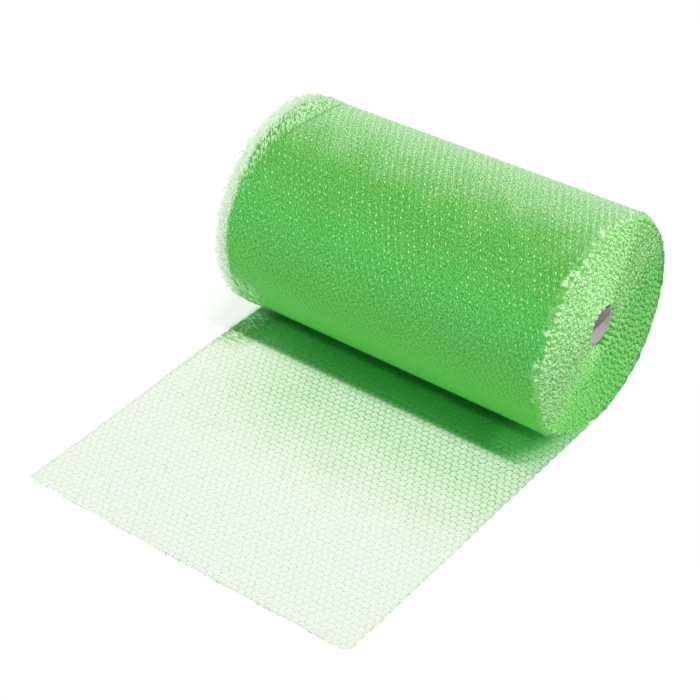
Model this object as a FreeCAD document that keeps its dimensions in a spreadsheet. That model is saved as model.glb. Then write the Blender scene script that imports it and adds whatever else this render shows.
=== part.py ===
import FreeCAD
import Part
import Sketcher
import math
import os

# Roll of bubble film: a 500 mm wide web wound on a cardboard tube, with its free end unrolled on the floor.
# Millimetres, +Z up. X runs along the roll's axis. The origin is on the floor below that axis, at mid width.
# The film leaves the roll at its lowest point and lies flat toward -Y, with its bubbles on top.

document = FreeCAD.newDocument("bubble_film_roll")
sheet = document.addObject("Spreadsheet::Sheet", "sizes")

# Driving sizes.
# wound_thickness is the film squeezed between two turns, and bubble_height the same film lying free.
# turn_slack is the air between two turns, and pressed_slack what is left of it where the roll stands.
# core_lift is how far the turns creep upward from the outermost to the one on the tube.
driving_sizes = (
    ("web_width", 500.0),
    ("roll_diameter", 300.0),
    ("unrolled_length", 530.0),
    ("wound_thickness", 4.8),
    ("turn_slack", 1.3),
    ("pressed_slack", 0.2),
    ("backing_thickness", 0.8),
    ("bubble_height", 5.0),
    ("row_foot", 8.0),
    ("row_valley", 1.0),
    ("wall_lean", 1.0),
    ("crown_clearance", 0.5),
    ("free_end_margin", 2.0),
    ("core_diameter", 57.0),
    ("core_wall", 3.0),
    ("core_recess", 3.0),
    ("core_clearance", 0.2),
    ("core_lift", 8.8),
)
for row, (alias, value) in enumerate(driving_sizes, start=1):
    sheet.set(f"A{row}", alias)
    sheet.set(f"B{row}", str(value))
    sheet.setAlias(f"B{row}", alias)
document.recompute()

# The winding is a two-centre spiral: back and front halves are half circles that meet above and below.
# Each half turn is about half a pitch smaller than the one outside it. The step is a little more above
# than below, so every turn hangs lower than the one inside it and the tube sits high in the roll.
outer_radius = sheet.roll_diameter / 2
seat_radius = sheet.core_diameter / 2 + sheet.core_clearance
winding_depth = outer_radius - sheet.wound_thickness - seat_radius
least_pitch = sheet.wound_thickness + sheet.turn_slack
turns = int((2 * winding_depth / least_pitch + 1) // 2)
creep = sheet.core_lift / (2 * turns - 1)
half_pitch = (winding_depth - creep) / (2 * turns - 1)
step_above = half_pitch + creep
pitch = 2 * half_pitch

# The weight closes the lowest gap down to pressed_slack, which flattens the bottom of the outer turn.
squeeze = 2 * step_above - sheet.wound_thickness - sheet.pressed_slack
first_centre = outer_radius - squeeze


def half_turn_radius(number):
    """The radius of a half turn's outer face: back halves are even, and front halves odd."""
    return outer_radius - number * half_pitch - number % 2 * creep


def half_turn_centre(number):
    """The height of a half turn's centre."""
    return first_centre + number // 2 * 2 * creep + number % 2 * step_above


last_half_turn = 2 * turns - 1


def in_section(y, z):
    """A point of the web's section, which lies in the plane of the roll's end at -X."""
    return FreeCAD.Vector(-sheet.web_width / 2, y, z)


def on_circle(centre, radius, degrees):
    """A point of the section at an angle from +Y round a centre above the origin."""
    angle = math.radians(degrees)
    return in_section(radius * math.cos(angle), centre + radius * math.sin(angle))


def arc(centre, radius, first, last):
    """The edge along a circle from one angle to another."""
    middle = (first + last) / 2
    points = [on_circle(centre, radius, degrees) for degrees in (first, middle, last)]
    return Part.Arc(*points).toShape()


def line(start, end):
    return Part.LineSegment(start, end).toShape()


def flat_angle(centre, radius, height):
    """The angle at which a circle that dips below a height comes up through it, on the roll's back."""
    return -math.degrees(math.asin((centre - height) / radius))


def winding(inset):
    """One face of the wound film, from the flat spot inward: the outer face has no inset."""
    edges = []
    for half_turn in range(2 * turns):
        radius = half_turn_radius(half_turn) - inset
        centre = half_turn_centre(half_turn)
        on_front = half_turn % 2 == 1
        if on_front:
            edges.append(arc(centre, radius, 90, 270))
        elif half_turn == 0:
            edges.append(arc(centre, radius, flat_angle(centre, radius, inset), 90))
        else:
            edges.append(arc(centre, radius, -90, 90))
    return edges


def bubble_rows(first_row):
    """The top of the unrolled film: one flat-topped ridge for each row of bubbles across the web."""
    backing = sheet.backing_thickness
    crown = sheet.bubble_height
    spacing = sheet.row_foot + sheet.row_valley
    row_length = sheet.unrolled_length - sheet.free_end_margin + first_row
    corners = [in_section(first_row, backing)]
    for number in range(int(row_length // spacing)):
        near_foot = first_row - sheet.row_valley - number * spacing
        far_foot = near_foot - sheet.row_foot
        corners.append(in_section(near_foot, backing))
        corners.append(in_section(near_foot - sheet.wall_lean, crown))
        corners.append(in_section(far_foot + sheet.wall_lean, crown))
        corners.append(in_section(far_foot, backing))
    corners.append(in_section(-sheet.unrolled_length, backing))
    return [line(start, end) for start, end in zip(corners, corners[1:])]


def web_section():
    """The closed section of the whole web: flat side, inner end, bubble side, free end."""
    outer_face = winding(0)
    inner_face = winding(sheet.wound_thickness)
    free_end = in_section(-sheet.unrolled_length, 0)
    outer_start = outer_face[0].Vertexes[0].Point
    inner_start = inner_face[0].Vertexes[0].Point
    outer_end = on_circle(half_turn_centre(last_half_turn), half_turn_radius(last_half_turn), 270)
    inner_end = outer_end + FreeCAD.Vector(0, 0, sheet.wound_thickness)

    # The rows start where the roll's front has risen clear of the crowns.
    clear_height = sheet.bubble_height + sheet.crown_clearance
    first_row = -math.sqrt(half_turn_radius(1) ** 2 - (half_turn_centre(1) - clear_height) ** 2)
    squeezed_end = in_section(first_row, sheet.wound_thickness)
    step_foot = in_section(first_row, sheet.backing_thickness)

    edges = [line(free_end, outer_start)]
    edges += outer_face
    edges.append(line(outer_end, inner_end))
    edges += inner_face
    edges.append(line(inner_start, squeezed_end))
    edges.append(line(squeezed_end, step_foot))
    rows = bubble_rows(first_row)
    edges += rows
    edges.append(line(rows[-1].Vertexes[-1].Point, free_end))
    ordered = Part.__sortEdges__(edges)
    return Part.Face(Part.Wire(ordered))


def make_web():
    """The film: its section drawn out over the width of the web."""
    section = document.addObject("Part::Feature", "web_section")
    section.Shape = web_section()
    web = document.addObject("Part::Extrusion", "web")
    web.Label = "bubble_web"
    web.Base = section
    web.DirMode = "Custom"
    web.Dir = FreeCAD.Vector(1, 0, 0)
    web.setExpression("LengthFwd", "sizes.web_width")
    web.Solid = True
    return web


def make_core():
    """The spirally wound cardboard tube, which ends a little short of the web at both ends."""
    body = document.addObject("PartDesign::Body", "core")
    body.Label = "core_tube"
    sketch = body.newObject("Sketcher::SketchObject", "core_section")
    planes = [item for item in body.Origin.OriginFeatures if item.Role == "YZ_Plane"]
    sketch.AttachmentSupport = (planes[0], [""])
    sketch.MapMode = "FlatFace"
    outline = (
        ("core_outside", "sizes.core_diameter / 2"),
        ("core_inside", "sizes.core_diameter / 2 - sizes.core_wall"),
    )
    for name, expression in outline:
        circle = Part.Circle(FreeCAD.Vector(0, 0, 0), FreeCAD.Vector(0, 0, 1), seat_radius)
        number = sketch.addGeometry(circle, False)
        sketch.addConstraint(Sketcher.Constraint("Coincident", number, 3, -1, 1))
        constraint = sketch.addConstraint(Sketcher.Constraint("Radius", number, seat_radius))
        sketch.renameConstraint(constraint, name)
        sketch.setExpression(f"Constraints.{name}", expression)
    pad = body.newObject("PartDesign::Pad", "core_length")
    pad.Profile = sketch
    pad.SideType = "Symmetric"
    pad.setExpression("Length", "sizes.web_width - 2 * sizes.core_recess")
    body.Placement.Base = FreeCAD.Vector(0, 0, half_turn_centre(last_half_turn))
    return body


sub_parts = [make_web(), make_core()]
document.recompute()

for item in document.Objects:
    if "Invalid" in item.State or "Error" in item.State:
        raise RuntimeError(f"{item.Name} did not build: {item.State}")
for item in sub_parts:
    if item.Shape.isNull() or not item.Shape.isValid() or len(item.Shape.Solids) != 1:
        raise RuntimeError(f"{item.Label} is not one sound solid")

os.makedirs("parts", exist_ok=True)
for item in sub_parts:
    item.Shape.exportStep(f"parts/{item.Label}.step")
    volume = item.Shape.Volume / 1e9
    print(f"{item.Label}: {volume:.6f} cubic metres")
print(f"{turns} turns at a pitch of {pitch:.3f} mm")
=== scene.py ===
import math
import bpy
import numpy as np
from mathutils import Matrix, Vector


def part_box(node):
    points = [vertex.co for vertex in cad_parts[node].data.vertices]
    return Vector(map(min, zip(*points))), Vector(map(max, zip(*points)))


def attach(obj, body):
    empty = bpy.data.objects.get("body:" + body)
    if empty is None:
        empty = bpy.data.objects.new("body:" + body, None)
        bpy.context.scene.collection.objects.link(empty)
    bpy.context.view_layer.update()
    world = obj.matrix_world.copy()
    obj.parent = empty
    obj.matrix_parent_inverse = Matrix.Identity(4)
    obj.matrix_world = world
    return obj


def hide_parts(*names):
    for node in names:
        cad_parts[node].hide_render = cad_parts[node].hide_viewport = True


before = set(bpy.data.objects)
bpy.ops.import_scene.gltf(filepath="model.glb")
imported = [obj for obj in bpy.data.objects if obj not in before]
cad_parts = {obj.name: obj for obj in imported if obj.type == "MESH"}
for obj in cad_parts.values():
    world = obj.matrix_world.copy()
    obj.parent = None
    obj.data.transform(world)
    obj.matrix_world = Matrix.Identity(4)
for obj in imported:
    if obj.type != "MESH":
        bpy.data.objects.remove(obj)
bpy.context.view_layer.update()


# Core tube: grey-brown cardboard, wound from narrow plies along a helix and glued, so that its bore
# shows faint slanting seams. It comes straight from the frame and gets its board finish here.
class Wire:
    """An output socket of a node tree. Arithmetic on it adds Math nodes to the same tree."""

    def __init__(self, finish, socket):
        self.finish = finish
        self.socket = socket

    def maths(self, operation, *values):
        return self.finish.node("ShaderNodeMath", {"operation": operation}, dict(enumerate(values)))

    def __add__(self, other):
        return self.maths("ADD", self, other)

    def __sub__(self, other):
        return self.maths("SUBTRACT", self, other)

    def __mul__(self, other):
        return self.maths("MULTIPLY", self, other)

    def __truediv__(self, other):
        return self.maths("DIVIDE", self, other)

    def __pow__(self, other):
        return self.maths("POWER", self, other)

    def __mod__(self, other):
        return self.maths("FLOORED_MODULO", self, other)

    def __abs__(self):
        return self.maths("ABSOLUTE", self)

    def __rsub__(self, other):
        return self.maths("SUBTRACT", other, self)

    __radd__ = __add__
    __rmul__ = __mul__


class Finish:
    """The node tree of a material or of the world, emptied and built up one node at a time."""

    def __init__(self, owner):
        owner.use_nodes = True
        self.owner = owner
        self.tree = owner.node_tree
        self.tree.nodes.clear()

    def node(self, kind, settings=None, inputs=None, output=0):
        made = self.tree.nodes.new(kind)
        for name, value in (settings or {}).items():
            setattr(made, name, value)
        for key, value in (inputs or {}).items():
            if isinstance(value, Wire):
                self.tree.links.new(value.socket, made.inputs[key])
            else:
                made.inputs[key].default_value = value
        return Wire(self, made.outputs[output]) if made.outputs else None

    def band(self, value, low, high, to_low=0.0, to_high=1.0):
        """A value carried from one range to another with a smooth ramp."""
        limits = {0: value, 1: low, 2: high, 3: to_low, 4: to_high}
        return self.node("ShaderNodeMapRange", {"interpolation_type": "SMOOTHSTEP"}, limits)

    def blend(self, share, first, second):
        """One colour over another by a share."""
        colours = {0: share, 6: first, 7: second}
        return self.node("ShaderNodeMix", {"data_type": "RGBA"}, colours, output=2)

    def noise(self, place, scale, detail=2.0):
        return self.node("ShaderNodeTexNoise", {}, {"Vector": place, "Scale": scale, "Detail": detail})

    def value_of(self, label):
        """A value that a piece carries on its points."""
        return self.node("ShaderNodeAttribute", {"attribute_name": label}, output=2)

    def place(self):
        """The point in the object's own coordinates, which are metres in the shared frame."""
        return self.node("ShaderNodeTexCoord", output=3)

    def parts(self, vector):
        return [self.node("ShaderNodeSeparateXYZ", {}, {0: vector}, output=number) for number in range(3)]

    def join(self, first, second, third=0.0):
        return self.node("ShaderNodeCombineXYZ", {}, {0: first, 1: second, 2: third})


def colour(red, green, blue):
    return (red, green, blue, 1.0)


def board_finish():
    ply_width = 0.075
    seam_width = 0.016
    low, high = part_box("core_tube")
    finish = Finish(bpy.data.materials.new("core_board"))
    place = finish.place()
    across, deep, tall = finish.parts(place)
    height = tall - (low.z + high.z) / 2
    angle = deep.maths("ARCTAN2", deep, height)
    ply = (across / ply_width + angle / math.tau) % 1.0
    seam = finish.band(abs(ply - 0.5), 0.0, seam_width, 1.0, 0.0)
    fibre = finish.noise(place, 900.0, 4.0)
    board = finish.blend(fibre, colour(0.25, 0.21, 0.22), colour(0.38, 0.33, 0.34))
    board = finish.blend(seam * 0.6, board, colour(0.16, 0.13, 0.12))
    # Painted shade: the bore's upper wall inside the tube's end is darkened in the colour.
    unlit = finish.band(height + (high.x - abs(across)), 0.012, 0.018)
    board = finish.blend(unlit * 0.92, board, colour(0.022, 0.015, 0.018))
    rough = finish.band(fibre, 0.3, 0.7, 0.75, 0.95)
    bump = finish.node("ShaderNodeBump", {}, {"Strength": 0.4, "Distance": 0.0004, "Height": fibre - seam})
    # Painted glow: the board's emission stands in for light scattered to it through the green film.
    surface = finish.node(
        "ShaderNodeBsdfPrincipled", {},
        {"Base Color": board, "Roughness": rough, "Normal": bump,
         "Emission Color": board, "Emission Strength": 0.45},
    )
    finish.node("ShaderNodeOutputMaterial", {}, {"Surface": surface})
    return finish.owner


core_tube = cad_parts["core_tube"]
core_tube.data.materials.clear()
core_tube.data.materials.append(board_finish())


# The path of the film: flat on the floor up to the line where the roll stands, then wound round the core.
# Back and front halves of the turns are half circles that meet above and below, and their centres creep
# upward toward the core, as in the frame's solid.
wound_thickness = 0.0048
bubble_height = 0.005
row_spacing = 0.009
bubble_spacing = 0.0099
turns = 19
core_lift = 0.0088
end_fullness = 0.0084
bottom_sag = 0.0042
web_low, web_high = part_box("bubble_web")
core_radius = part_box("core_tube")[1].y
outer_radius = web_high.y
core_clearance = 0.0002
seat_radius = core_radius + core_clearance
first_centre = web_high.z - outer_radius
creep = core_lift / (2 * turns - 1)
half_pitch = (outer_radius - wound_thickness - seat_radius - creep) / (2 * turns - 1)
step_above = half_pitch + creep
half_turns = np.arange(2 * turns)
half_turn_radii = outer_radius - half_pitch * half_turns - creep * (half_turns % 2)
half_turn_centres = first_centre + 2 * creep * (half_turns // 2) + step_above * (half_turns % 2)
half_turn_lengths = math.pi * half_turn_radii
half_turn_ends = np.cumsum(half_turn_lengths)
outer_turn_length = half_turn_ends[1]
wound_length = half_turn_ends[-1]
web_half = web_high.x


def on_web(across, along, depth):
    """Points of the web. along starts where the roll stands, and depth at the film's flat side."""
    sag_angle = 0.78
    sag_spread = 0.27
    even_share = 0.6
    back_share = 1 - even_share
    across, along, depth = np.broadcast_arrays(across, along, depth)
    half = np.clip(np.searchsorted(half_turn_ends, along, side="right"), 0, 2 * turns - 1)
    begun = half_turn_ends[half] - half_turn_lengths[half]
    share = (along - begun) / half_turn_lengths[half]
    angle = np.pi * (share - 0.5 + half % 2)
    centre = half_turn_centres[half]
    radius = half_turn_radii[half] - depth
    outward = np.clip((radius - seat_radius) / (outer_radius - seat_radius), 0, 1)
    fuller = end_fullness * outward * (across + web_half) / (2 * web_half)
    from_bottom = np.abs((angle + np.pi / 2 + np.pi) % math.tau - np.pi)
    sag = bottom_sag * outward**3 * np.exp(-((from_bottom - sag_angle) / sag_spread) ** 2)
    radius = radius + fuller * (even_share + back_share * np.cos(angle - np.pi / 4)) + sag
    centre = centre + fuller * (even_share - back_share * math.sqrt(0.5))
    wound = along > 0
    y = np.where(wound, radius * np.cos(angle), along)
    z = np.where(wound, centre + radius * np.sin(angle), depth)
    return np.stack([across, y, np.maximum(z, np.clip(depth, 0.0001, 1.0))], axis=-1)


def piece(name, points, faces, finish, values):
    """A smooth-shaded piece of the film, with named values on its points."""
    mesh = bpy.data.meshes.new(name)
    mesh.from_pydata(points.reshape(-1, 3).tolist(), [], faces)
    for label, numbers in values.items():
        attribute = mesh.attributes.new(label, "FLOAT", "POINT")
        attribute.data.foreach_set("value", np.asarray(numbers, np.float32).ravel())
    mesh.polygons.foreach_set("use_smooth", np.ones(len(mesh.polygons), bool))
    mesh.materials.append(finish.owner)
    made = bpy.data.objects.new(name, mesh)
    bpy.context.scene.collection.objects.link(made)
    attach(made, "root")
    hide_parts("bubble_web")
    return made


def grid_faces(rows, columns):
    """Quads between neighbouring points of a grid."""
    corner = np.arange(rows - 1)[:, None] * columns + np.arange(columns - 1)[None, :]
    corners = [corner, corner + 1, corner + columns + 1, corner + columns]
    return np.stack(corners, axis=-1).reshape(-1, 4).tolist()


# Wound turns: every turn under the outermost one. The film's flat side faces out and its rows of bubbles
# face in, pressed by the turn above. At both ends the cut rows show as a bumpy edge, turn beside turn.
def shaded_film_green(finish, place, tall):
    """The green of the film in bulk, with shading painted in by height: deeper above, bluer at mid height
    and yellower below.
    """
    patches = finish.noise(place, 6.0)
    height = tall + (patches - 0.5) * 0.14
    middle = colour(0.060, 0.46, 0.032)
    upper = colour(0.054, 0.320, 0.026)
    green = finish.blend(finish.band(height, 0.12, 0.27), middle, upper)
    bluer = finish.band(height, 0.13, 0.19) * finish.band(height, 0.20, 0.27, 1.0, 0.0)
    green = finish.blend(bluer * 0.8, green, colour(0.044, 0.40, 0.060))
    return finish.blend(finish.band(tall, 0.050, 0.110, 1.0, 0.0), green, colour(0.066, 0.455, 0.044))


def turns_finish():
    finish = Finish(bpy.data.materials.new("wound_turns_green"))
    place = finish.place()
    across, deep, tall = finish.parts(place)
    # Painted light and shade: the cut ends are paler on the side toward the high lamp and darker away from
    # it.
    toward_light = (tall - first_centre) * 0.82 - deep * 0.60
    lit_side = finish.band(toward_light, -0.075, 0.035)
    crown = finish.value_of("crown")
    bulge = finish.value_of("bulge")
    specks = finish.noise(place, 520.0, 2.0) - (bulge - 0.5) * 0.14
    patches = finish.noise(place, 16.0, 2.0)
    green = shaded_film_green(finish, place, tall)
    at_end = finish.band(abs(across), 0.225, 0.236)
    lit = finish.band(lit_side + (patches - 0.5) * 0.7, 0.05, 0.95)
    pale = finish.blend(lit, colour(0.085, 0.42, 0.055), colour(0.20, 0.50, 0.145))
    green = finish.blend(at_end, green, pale)
    # Painted glints on the bubbles at the cut ends, and painted shade in the pits between rows.
    glints = finish.band(specks, 0.47, 0.37) * (1.15 - crown * 0.7) * at_end
    green = finish.blend(glints * (0.48 + 0.30 * lit), green, colour(0.60, 0.90, 0.50))
    pit_shade = finish.band(specks, 0.50, 0.60) * (0.60 + 0.40 * crown) * at_end
    green = finish.blend(pit_shade * 0.80, green, colour(0.018, 0.17, 0.018))
    # Painted glow: emission stands in for light scattered inside the roll.
    surface = finish.node(
        "ShaderNodeBsdfPrincipled", {},
        {"Base Color": green, "Roughness": 0.45, "Specular IOR Level": 0.3,
         "Emission Color": green, "Emission Strength": 0.3},
    )
    finish.node("ShaderNodeOutputMaterial", {}, {"Surface": surface})
    return finish


def make_wound_turns():
    backing = 0.0006
    profile_places = np.array([0.07, 0.20, 0.38, 0.62, 0.80, 0.93])
    profile_depths = np.array([0.0, 0.78, 1.0, 1.0, 0.78, 0.0])
    rows = int((wound_length - outer_turn_length) / row_spacing)
    randoms = np.random.default_rng(11)
    count = len(profile_places)
    along = (outer_turn_length + (np.arange(rows)[:, None] + profile_places) * row_spacing).ravel()
    row_size = np.repeat(randoms.uniform(0.84, 1.0, rows), count)
    depth = backing + (wound_thickness - backing) * np.tile(profile_depths, rows) * row_size
    squeeze = np.repeat(np.where(np.arange(rows) % 2 == 0, 1.0, 0.5), count)
    inward = (along - outer_turn_length) / (wound_length - outer_turn_length)
    wave = np.sin(along * 21.0) + np.sin(along * 8.3 + 1.0) + np.sin(along * 47.0)
    loose_end = np.exp(-inward / 0.10)
    uneven = np.clip(np.abs(randoms.normal(0, 0.0010, rows)), 0, 0.0018)
    ragged = np.repeat(uneven, count) * (1 + loose_end)
    shoulder = 0.006 * np.exp(-inward / 0.035)
    right_end = web_half + 0.0025 - shoulder + 0.0006 * wave + ragged
    left_end = -web_half + 0.010 + shoulder - 0.0010 * wave - ragged
    stations = [
        (left_end, 0.0), (left_end + 0.003, 1.0), (left_end + 0.020, 1.0),
        (right_end - 0.020, 1.0), (right_end - 0.003, 1.0), (right_end, 0.0),
    ]
    flat_side = [on_web(across, along, 0.0004 * (1 - fullness)) for across, fullness in stations]
    bubble_side = []
    for across, fullness in reversed(stations):
        share = fullness + (1 - fullness) * squeeze
        bubble_side.append(on_web(across, along, backing + (depth - backing) * share))
    points = np.stack(flat_side + bubble_side, axis=1)
    around = points.shape[1]
    crown = np.tile(np.repeat([0.0, 1.0], len(stations)), (points.shape[0], 1))
    bulge = np.tile(np.tile(profile_depths, rows)[:, None], (1, around))
    start = np.arange(points.shape[0] - 1)[:, None] * around
    here = np.arange(around)[None, :]
    after = (here + 1) % around
    corners = [start + here, start + after, start + around + after, start + around + here]
    faces = np.stack(corners, axis=-1).reshape(-1, 4).tolist()
    made = piece("wound_turns", points, faces, turns_finish(), {"crown": crown, "bulge": bulge})
    made.visible_shadow = False
    return made


wound_turns = make_wound_turns()


# Outermost turn: one layer of the same film, its bubbles turned in. It stands out past the turns below at
# the left end, loose and creased, where light comes through it, and turns in over the right end's shoulder.
def in_cell(finish, across, along):
    """The place in a bubble's own cell, in bubble spacings from its centre, and the cell's number."""
    row = (along / row_spacing).maths("FLOOR", along / row_spacing)
    column = across / bubble_spacing + (row % 2.0) * 0.5 - 0.25
    sideways = column % 1.0 - 0.5
    endways = ((along / row_spacing) % 1.0 - 0.5) * (row_spacing / bubble_spacing)
    number = finish.join(column.maths("FLOOR", column), row)
    return sideways, endways, number


def any_of(finish, number, shift=0.0):
    """A random value for each bubble, from its cell's number."""
    moved = finish.node("ShaderNodeVectorMath", {"operation": "ADD"}, {0: number, 1: (shift, shift, 0.0)})
    return finish.node("ShaderNodeTexWhiteNoise", {"noise_dimensions": "3D"}, {"Vector": moved}, output=0)


def lamp_passes(finish, skin, tint):
    """The film for the eye, and a clear green tint for light on its way from a lamp."""
    passing = finish.node("ShaderNodeBsdfTransparent", {}, {"Color": tint})
    from_lamp = finish.node("ShaderNodeLightPath", output="Is Shadow Ray")
    return finish.node("ShaderNodeMixShader", {}, {0: from_lamp, 1: skin, 2: passing})


def skin_finish():
    finish = Finish(bpy.data.materials.new("outer_film_green"))
    place = finish.place()
    side, deep, tall = finish.parts(place)
    across = finish.value_of("across")
    along = finish.value_of("along")
    loose = finish.value_of("loose")
    sideways, endways, number = in_cell(finish, across, along)
    chance = any_of(finish, number)
    other = any_of(finish, number, 31.0)
    run = across * 0.58 + along * 0.81
    beside = across * 0.81 - along * 0.58
    worms = finish.noise(finish.join(run * 330.0, beside * 600.0), 1.0, 2.0)
    wrinkles = finish.noise(finish.join(run * 120.0, beside * 340.0), 1.0, 3.0)
    clumps = finish.noise(finish.join(across, along), 26.0, 2.0)

    # Painted broad light and shade, from the pale top to the dark foot.
    rough = finish.band(tall, 0.055, 0.17, 0.15, 1.0)
    upper = finish.band(tall, 0.12, 0.24)
    # Painted sheen: paler over the top and back of the roll.
    top = finish.band(deep + (clumps - 0.5) * 0.06, -0.085, 0.055) * finish.band(tall, 0.16, 0.24)
    green = shaded_film_green(finish, place, tall)
    green = finish.blend(top * 0.85, green, colour(0.33, 0.55, 0.28))
    # Painted shade: a darker, bluer green at the roll's foot.
    green = finish.blend(finish.band(tall, 0.062, 0.044) * 0.75, green, colour(0.020, 0.22, 0.085))

    # Slanting columns of pressed bubbles, and the grain of the film over them; both show more strongly
    # within the painted sheen at the top.
    column = ((across * 0.868 - along * 0.497) / 0.00894) % 1.0
    column_light = finish.band(abs(column - 0.5), 0.08, 0.30, 1.0, 0.0)
    green = finish.blend(column_light * (0.05 + 0.30 * top), green, colour(0.50, 0.80, 0.42))
    dark_grain = finish.band(worms, 0.50, 0.60)
    light_grain = finish.band(worms, 0.49, 0.39)
    green = finish.blend(dark_grain * rough * (0.50 + 0.25 * top), green, colour(0.018, 0.18, 0.016))
    green = finish.blend(light_grain * rough * (0.28 + 0.35 * top), green, colour(0.38, 0.78, 0.27))

    # Painted glints: one short light stroke on each bubble, strongest on the upper part of the roll.
    shifted = sideways + (other - 0.5) * 0.30
    stroke_run = shifted * 0.60 + endways * 0.80
    stroke_side = shifted * 0.80 - endways * 0.60
    bubble_glint = finish.band(abs(stroke_run), 0.09, 0.21, 1.0, 0.0)
    bubble_glint = bubble_glint * finish.band(abs(stroke_side), 0.025, 0.080, 1.0, 0.0)
    bubble_glint = bubble_glint * finish.band(chance, 0.0, 1.0, 0.0, 1.0) * (0.05 + 0.72 * upper)
    green = finish.blend(bubble_glint, green, colour(0.66, 0.97, 0.52))

    # The pale rim at the right end with painted glints on it, and slack, creased film at the left.
    rim = finish.band(across + (clumps - 0.5) * 0.020 + (worms - 0.5) * 0.010, 0.239, 0.250)
    blotch = finish.band(wrinkles + (chance - 0.5) * 0.25, 0.56, 0.42)
    green = finish.blend(rim * (0.06 + 0.40 * blotch), green, colour(0.28, 0.60, 0.20))
    rim_glints = finish.band(finish.noise(place, 105.0, 2.0), 0.56, 0.65) * finish.band(across, 0.235, 0.247)
    green = finish.blend(rim_glints * finish.band(tall, 0.09, 0.14) * 0.62, green, colour(0.70, 0.90, 0.64))
    ends_loose = finish.band(abs(tall - 0.168), 0.052, 0.088)
    slack = finish.band(loose + (clumps - 0.5) * 0.4, 0.0, 0.45) * ends_loose
    crease = finish.band(loose, 0.01, 0.06) * finish.band(loose, 0.07, 0.14, 1.0, 0.0)
    crease = crease * finish.band(tall, 0.26, 0.285)
    green = finish.blend(slack * finish.band(wrinkles, 0.55, 0.42) * 0.75, green, colour(0.46, 0.74, 0.38))
    green = finish.blend(slack * finish.band(wrinkles, 0.51, 0.61) * 0.72, green, colour(0.030, 0.22, 0.025))
    green = finish.blend(crease * 0.5, green, colour(0.03, 0.22, 0.03))

    # The left edge thins out to a clear fringe.
    fringe = finish.band(side + (clumps - 0.5) * 0.010 + (worms - 0.5) * 0.022, -0.235, -0.244)
    green = finish.blend(fringe * 0.75, green, colour(0.34, 0.64, 0.26))
    edge = finish.band(side, -0.247, -0.257)
    alpha = 1.0 - fringe * (0.62 - dark_grain * 0.35 + edge * 0.25)
    bump_height = worms + bubble_glint * 2.0 + wrinkles * slack
    bump = finish.node("ShaderNodeBump", {}, {"Strength": 0.4, "Distance": 0.0008, "Height": bump_height})
    # Painted glow: emission stands in for light scattered inside the roll.
    skin = finish.node(
        "ShaderNodeBsdfPrincipled", {},
        {"Base Color": green, "Roughness": 0.40, "Specular IOR Level": 0.35, "Alpha": alpha, "Normal": bump,
         "Emission Color": green, "Emission Strength": 0.3},
    )
    thin_ends = finish.band(abs(across), 0.214, 0.247)
    tint = finish.blend(thin_ends, colour(0.135, 0.475, 0.15), colour(0.70, 0.90, 0.66))
    surface = lamp_passes(finish, skin, tint)
    finish.node("ShaderNodeOutputMaterial", {}, {"Surface": surface})
    return finish


def nearness(across, along):
    """How near a point of the web is to its bubble's centre: 1 there, and 0 at the foot of the bubble."""
    best = np.full(np.broadcast(across, along).shape, 9.0)
    for step in (-1, 0, 1):
        row = np.floor(along / row_spacing) + step
        shift = (row % 2) * 0.5 - 0.25
        column = np.floor(across / bubble_spacing + shift) + 0.5
        sideways = across - (column - shift) * bubble_spacing
        endways = along - (row + 0.5) * row_spacing
        best = np.minimum(best, np.hypot(sideways, endways))
    return np.clip(1 - best / (0.5 * bubble_spacing), 0, 1)


def looseness(across, along):
    """How loose the outer turn is at a point: 0 where it lies tight, 1 at its left edge."""
    turned = along / outer_turn_length
    wider_above = 0.030 * np.exp(-((turned - 0.49) / 0.09) ** 2)
    wider_in_front = 0.044 * np.exp(-((turned - 0.83) / 0.07) ** 2)
    margin = 0.024 + wider_above + wider_in_front
    return np.clip((-across - web_half + margin) / margin, 0, 1)


def outer_depth(across, along):
    """How deep the outer turn's flat side lies below its even winding: less than 0 stands proud."""
    loose = looseness(across, along)
    fold = np.sin(along * 520.0 + across * 160.0) * 0.6 + np.sin(along * 233.0 - across * 300.0)
    flare = -0.0014 * np.sin(np.pi * np.clip(loose * 0.9, 0, 1)) + 0.0009 * loose * fold
    shoulder = 0.007 * np.clip((across - web_half + 0.010) / 0.010, 0, 1) ** 2
    bumps = np.sin(along * 349.0) + np.sin(along * 905.0)
    rim = np.clip((across - web_half + 0.016) / 0.008, 0, 1) * 0.0007 * bumps
    return flare + shoulder + rim + 0.0005


def make_outer_turn():
    steps = 4
    bubbles_across = 48
    rows = int(outer_turn_length / row_spacing)
    along = np.linspace(0.0005, outer_turn_length, rows * steps + 1)
    columns = np.linspace(-1, 1, bubbles_across * steps + 1)
    right_edge = web_half + 0.0035 + 0.0006 * np.sin(along * 61.0) * np.sin(along * 223.0)
    drooping = np.clip((along / outer_turn_length - 0.66) / 0.14, 0, 1)
    left_edge = web_half + 0.0048 + 0.0046 * drooping + 0.0005 * np.sin(along * 700.0)
    left_edge = left_edge + 0.0012 * np.sin(along * 37.0) * np.sin(along * 171.0)
    along, columns = np.meshgrid(along, columns, indexing="ij")
    across = np.where(columns > 0, columns * right_edge[:, None], columns * left_edge[:, None])
    near = nearness(across, along)
    dome = np.sqrt(np.clip(1 - (1 - near) ** 2, 0, 1))
    depth = outer_depth(across, along) + 0.0006 * (1 - dome)
    values = {"across": across, "along": along, "loose": looseness(across, along)}
    points = on_web(across, along, depth)
    return piece("outer_turn", points, grid_faces(*along.shape), skin_finish(), values)


outer_turn = make_outer_turn()


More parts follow.
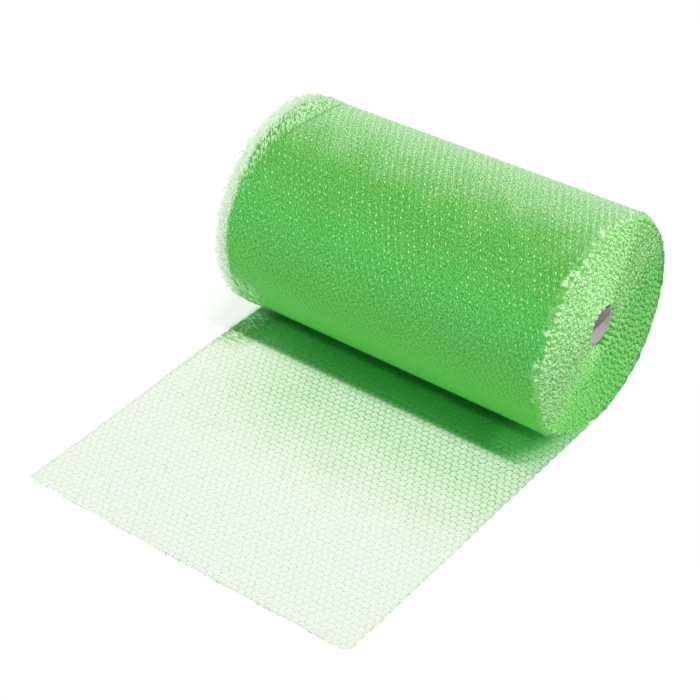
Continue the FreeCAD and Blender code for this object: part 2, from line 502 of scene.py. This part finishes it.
# Bubbles: round domes blown up on the backing film in nested rows. They are modelled one by one on the
# unrolled film, where they stand free, and along both edges of the outermost turn, where they show.
def clear_finish(name, open_alpha, rim_alpha, net_alpha):
    """Nearly clear film over white: a faint green net where the bubbles' walls are seen on edge."""
    finish = Finish(bpy.data.materials.new(name))
    place = finish.place()
    side, deep, tall = finish.parts(place)
    rim = finish.value_of("rim")
    clumps = finish.noise(place, 14.0, 2.0)
    grain = finish.noise(place, 520.0, 2.0)
    broken = finish.band(grain, 0.42, 0.58, 0.05, 1.0)
    # Painted reflection: nearer the roll the film is greener and denser, standing in for green light bounced
    # from the roll.
    green_bounce_near_roll = finish.band(deep + (clumps - 0.5) * 0.10, -0.36, -0.13)
    green_bounce_near_roll = green_bounce_near_roll * finish.band(side, -0.23, -0.07, 0.1, 1.0)
    green = finish.blend(green_bounce_near_roll, colour(0.24, 0.42, 0.13), colour(0.14, 0.44, 0.07))
    # Painted shadow under the roll's overhang: the film there is darker green and denser, and its bubbles'
    # outlines fade.
    below = finish.band(deep, -0.135, -0.060) * finish.band(tall, 0.012, 0.008)
    below = below * finish.band(side, 0.205, 0.250, 1.0, 0.2)
    outline = finish.band(rim, 0.66, 0.95) * broken * rim_alpha
    alpha = open_alpha * (1 + 1.3 * green_bounce_near_roll) + outline * (1.0 - below * 0.7)
    if net_alpha:
        # The backing film also carries the net between the bubbles, and painted shadow and shade near the
        # roll.
        sideways, endways, number = in_cell(finish, side, deep)
        next_row = row_spacing / bubble_spacing
        from_own = (sideways * sideways + endways * endways) ** 0.5
        from_next = ((0.5 - abs(sideways)) ** 2.0 + (next_row - abs(endways)) ** 2.0) ** 0.5
        gap = finish.band(from_own.maths("MINIMUM", from_own, from_next), 0.44, 0.57)
        # The gaps and walls are the film's own net; that the walls show on only two of their three slants is
        # painted shade from the high lamp's side.
        slanting = abs(abs(sideways * 0.5 + endways * 0.87) - 0.5)
        walls = finish.band(abs(abs(sideways) - 0.5), 0.02, 0.09, 1.0, 0.0)
        walls = walls.maths("MAXIMUM", walls, finish.band(slanting, 0.02, 0.09, 1.0, 0.0))
        net = gap * 0.85 + walls * 0.40
        net_strength = broken * (0.40 + 1.0 * green_bounce_near_roll) * (1.0 - below * 0.95) * net_alpha
        alpha = alpha + net * net_strength
        green = finish.blend(net * 0.7, green, colour(0.10, 0.22, 0.07))
        # Painted shadow: a deeper green along the edge of the roll's shadow, then the darker, mottled shadow
        # under the roll.
        shadow_edge_tint = finish.band(deep + (any_of(finish, number) - 0.5) * 0.014, -0.150, -0.118)
        green = finish.blend(shadow_edge_tint * 0.6, green, colour(0.085, 0.40, 0.075))
        green = finish.blend(below, green, colour(0.13, 0.39, 0.15))
        mottle = finish.band(finish.noise(place, 260.0, 3.0), 0.44, 0.60)
        green = finish.blend(below * mottle * 0.70, green, colour(0.22, 0.58, 0.24))
        crumpled = finish.band(side + (clumps - 0.5) * 0.04, -0.195, -0.238)
        crumpled = crumpled * finish.band(deep, -0.176, -0.136)
        folds = finish.noise(finish.join(side + deep * 0.5, deep * 1.6), 120.0, 3.0)
        dark_folds = crumpled * finish.band(folds, 0.52, 0.60) * 0.85
        green = finish.blend(dark_folds, green, colour(0.045, 0.30, 0.040))
        light_folds = crumpled * finish.band(folds, 0.48, 0.40) * 0.85
        green = finish.blend(light_folds, green, colour(0.55, 0.90, 0.42))
        # Painted shade along the line where the roll stands on the film.
        crease = finish.band(deep + (clumps - 0.5) * 0.012, -0.080, -0.062)
        crease = crease * finish.band(side, 0.150, 0.240, 1.0, 0.0)
        green = finish.blend(crease * 0.8, green, colour(0.010, 0.10, 0.030))
        cut_sides = finish.band(abs(side), web_half - 0.0050, web_half - 0.0020)
        cut_end = finish.band(deep, web_low.y + 0.0050, web_low.y + 0.0020)
        border = cut_sides.maths("MAXIMUM", cut_sides, cut_end) * broken * (1.0 - below)
        green = finish.blend(border * 0.7, green, colour(0.20, 0.26, 0.17))
        alpha = alpha + shadow_edge_tint * 0.14 + below * 0.38 + crease * 0.3 + crumpled * 0.48 + border * 0.22
    skin = finish.node(
        "ShaderNodeBsdfPrincipled", {}, {"Base Color": green, "Roughness": 0.3, "Alpha": alpha}
    )
    surface = lamp_passes(finish, skin, colour(0.97, 0.985, 0.965))
    finish.node("ShaderNodeOutputMaterial", {}, {"Surface": surface})
    return finish


def lattice(first_row, last_row, lowest, highest):
    """The bubbles' centres between two rows and two edges of the web."""
    columns_each_side = 26
    columns = np.arange(-columns_each_side, columns_each_side + 1)
    row, column = np.meshgrid(np.arange(first_row, last_row), columns, indexing="ij")
    across = (column + 0.5 - (row % 2) * 0.5 + 0.25) * bubble_spacing
    kept = (across > lowest) & (across < highest)
    return across[kept], (row[kept] + 0.5) * row_spacing


def make_bubbles(name, centres, rings, height, base_depth, finish, seed):
    """Bubbles as domes on a round foot: each ring is a share of the foot's radius and of the height."""
    sides = 12
    foot_radius = 0.0049
    randoms = np.random.default_rng(seed)
    across, along = centres
    count = len(across)
    turn = np.arange(sides) * math.tau / sides
    heights = height * randoms.uniform(0.86, 1.0, count)
    rounds = []
    rims = []
    for share, rise in rings:
        ring_across = across[:, None] + foot_radius * share * np.cos(turn)
        ring_along = along[:, None] + foot_radius * share * np.sin(turn)
        base = base_depth(ring_across, ring_along)
        rounds.append(on_web(ring_across, ring_along, base + (heights * rise)[:, None]))
        rims.append(np.full((count, sides), share))
    crowns = on_web(across, along, base_depth(across, along) + heights)
    points = np.concatenate(rounds + [crowns[:, None, :]], axis=1)
    rims = np.concatenate(rims + [np.zeros((count, 1))], axis=1)
    size = points.shape[1]
    here = np.arange(sides)
    after = (here + 1) % sides
    walls = []
    for low in range(0, (len(rings) - 1) * sides, sides):
        walls.append(np.stack([low + here, low + after, low + sides + after, low + sides + here], axis=-1))
    top = (len(rings) - 1) * sides
    crown = np.stack([top + here, top + after, np.full(sides, size - 1)], axis=-1)
    start = np.arange(count)[:, None, None] * size
    quads = (start + np.concatenate(walls)[None]).reshape(-1, 4).tolist()
    fans = (start + crown[None]).reshape(-1, 3).tolist()
    return piece(name, points, quads + fans, finish, {"rim": rims})


margin_rings = [(1.0, 0.0), (0.90, 0.66), (0.55, 0.96)]
outer_rows = int(outer_turn_length / row_spacing)
edge_centres = [lattice(1, outer_rows - 1, *edge) for edge in ((-0.2585, -0.236), (0.238, 0.2445))]
edge_bubbles = make_bubbles(
    "edge_bubbles", [np.concatenate(parts) for parts in zip(*edge_centres)], margin_rings, 0.0040,
    lambda across, along: outer_depth(across, along) + 0.0007,
    clear_finish("edge_bubble_film", 0.07, 0.12, 0.0), 7,
)
edge_bubbles.visible_shadow = False
bubble_rings = [(1.0, 0.0), (0.93, 0.62), (0.68, 0.94)]
unrolled_bubbles = make_bubbles(
    "unrolled_bubbles", lattice(-59, -1, -0.2462, 0.2462), bubble_rings, bubble_height - 0.0004,
    lambda across, along: np.full(np.broadcast(across, along).shape, 0.0003),
    clear_finish("unrolled_bubble_film", 0.014, 0.02, 0.0), 5,
)


# Unrolled end: the backing film of the same web, flat on the floor. Its cut end is a little uneven.
def make_unrolled_film():
    along = np.linspace(0.0, 1.0, 90)
    across = np.linspace(-web_half, web_half, 240)
    free_end = web_low.y - 0.0012 + 0.0010 * np.sin(across * 83.0) + 0.0007 * np.sin(across * 410.0)
    free_end = free_end + 0.0030 * np.clip(-across / web_half, 0, 1)
    free_end = free_end + 0.0016 * np.abs(np.sin(across * np.pi / bubble_spacing))
    free_end = free_end + 0.005 * np.clip((np.abs(across) - web_half + 0.012) / 0.012, 0, 1) ** 2
    along, across = np.meshgrid(along, across, indexing="ij")
    along = free_end[None, :] * (1 - along) + 0.0005 * along
    bowed = across + np.sign(across) * (0.0006 * np.sin(along * 349.0) - 0.0006)
    bowed = bowed - 0.0040 * np.exp(-((along + 0.20) / 0.11) ** 2) * (across < 0)
    bowed = bowed + 0.0012 * np.exp(-((along + 0.38) / 0.16) ** 2) * (across > 0)
    across = np.where(np.abs(across) > web_half - 0.0001, bowed, across)
    points = on_web(across, along, 0.0003)
    return piece(
        "unrolled_film", points, grid_faces(*along.shape),
        clear_finish("unrolled_backing_film", 0.160, 0.0, 0.66), {"rim": np.zeros(along.shape)},
    )


unrolled_film = make_unrolled_film()


# Stage: a white floor, a high lamp to the right, a broad one above and an even white surround.
def make_floor():
    half = 4.0
    below = -0.0005
    mesh = bpy.data.meshes.new("floor")
    corners = [(-half, -half, below), (half, -half, below), (half, half, below), (-half, half, below)]
    mesh.from_pydata(corners, [], [(0, 1, 2, 3)])
    floor = bpy.data.objects.new("floor", mesh)
    bpy.context.scene.collection.objects.link(floor)
    finish = Finish(bpy.data.materials.new("white_floor"))
    place = finish.place()
    side, deep = finish.parts(place)[:2]
    # Painted light: seen from the camera the floor glows white away from the unrolled film, which fades the
    # roll's shadow there; under the film it stays plain matt.
    outside = finish.band(abs(side), web_half - 0.004, web_half + 0.010)
    beyond = finish.band(deep, web_low.y - 0.02, web_low.y)
    behind = finish.band(deep, -0.03, 0.0)
    clear_of_film = outside.maths("MAXIMUM", outside, 1 - beyond)
    clear_of_film = clear_of_film.maths("MAXIMUM", clear_of_film, behind)
    matt = finish.node("ShaderNodeBsdfDiffuse", {}, {"Color": colour(0.97, 0.97, 0.97)})
    white = finish.node("ShaderNodeEmission", {}, {"Color": colour(1, 1, 1), "Strength": 1.0})
    seen = finish.node("ShaderNodeLightPath", output="Is Camera Ray")
    share = seen * clear_of_film * 0.77
    surface = finish.node("ShaderNodeMixShader", {}, {0: share, 1: matt, 2: white})
    finish.node("ShaderNodeOutputMaterial", {}, {"Surface": surface})
    mesh.materials.append(finish.owner)
    return floor


def make_surround():
    ambient = 0.12
    world = bpy.data.worlds.new("white_surround")
    bpy.context.scene.world = world
    finish = Finish(world)
    camera_ray = finish.node("ShaderNodeLightPath", output="Is Camera Ray")
    glossy_ray = finish.node("ShaderNodeLightPath", output="Is Glossy Ray")
    clear_ray = finish.node("ShaderNodeLightPath", output="Is Transmission Ray")
    seen = camera_ray.maths("MAXIMUM", camera_ray, glossy_ray)
    seen = seen.maths("MAXIMUM", seen, clear_ray)
    strength = ambient + seen * (1 - ambient)
    glow = finish.node("ShaderNodeBackground", {}, {"Color": colour(1, 1, 1), "Strength": strength})
    finish.node("ShaderNodeOutputWorld", {}, {"Surface": glow})


def make_lamp(name, energy, degrees, toward_lamp):
    light = bpy.data.lights.new(name, "SUN")
    light.energy = energy
    light.angle = math.radians(degrees)
    lamp = bpy.data.objects.new(name, light)
    lamp.rotation_mode = "QUATERNION"
    lamp.rotation_quaternion = Vector(toward_lamp).to_track_quat("Z", "Y")
    bpy.context.scene.collection.objects.link(lamp)


def make_camera():
    azimuth = math.radians(35.69)
    elevation = math.radians(36.54)
    tilt = math.radians(1.549)
    distance = 2.6063
    target = Vector((0.0462, -0.2575, 0.1774))
    back = Vector((
        math.sin(azimuth) * math.cos(elevation),
        -math.cos(azimuth) * math.cos(elevation),
        math.sin(elevation),
    ))
    level_right = Vector((0, 0, 1)).cross(back).normalized()
    level_up = back.cross(level_right)
    right = math.cos(tilt) * level_right + math.sin(tilt) * level_up
    up = math.cos(tilt) * level_up - math.sin(tilt) * level_right
    data = bpy.data.cameras.new("camera")
    data.sensor_width = 36.0
    data.lens = 110.02
    data.clip_end = 50.0
    camera = bpy.data.objects.new("camera", data)
    turned = Matrix((right, up, back)).transposed().to_4x4()
    camera.matrix_world = Matrix.Translation(target + back * distance) @ turned
    bpy.context.scene.collection.objects.link(camera)
    bpy.context.scene.camera = camera


make_floor()
make_surround()
make_lamp("high_lamp", 2.65, 5.0, (0.27, -0.14, 1.0))
make_lamp("broad_lamp", 0.45, 120.0, (0.0, -0.2, 1.0))
make_camera()
bpy.context.scene.view_settings.view_transform = "Standard"
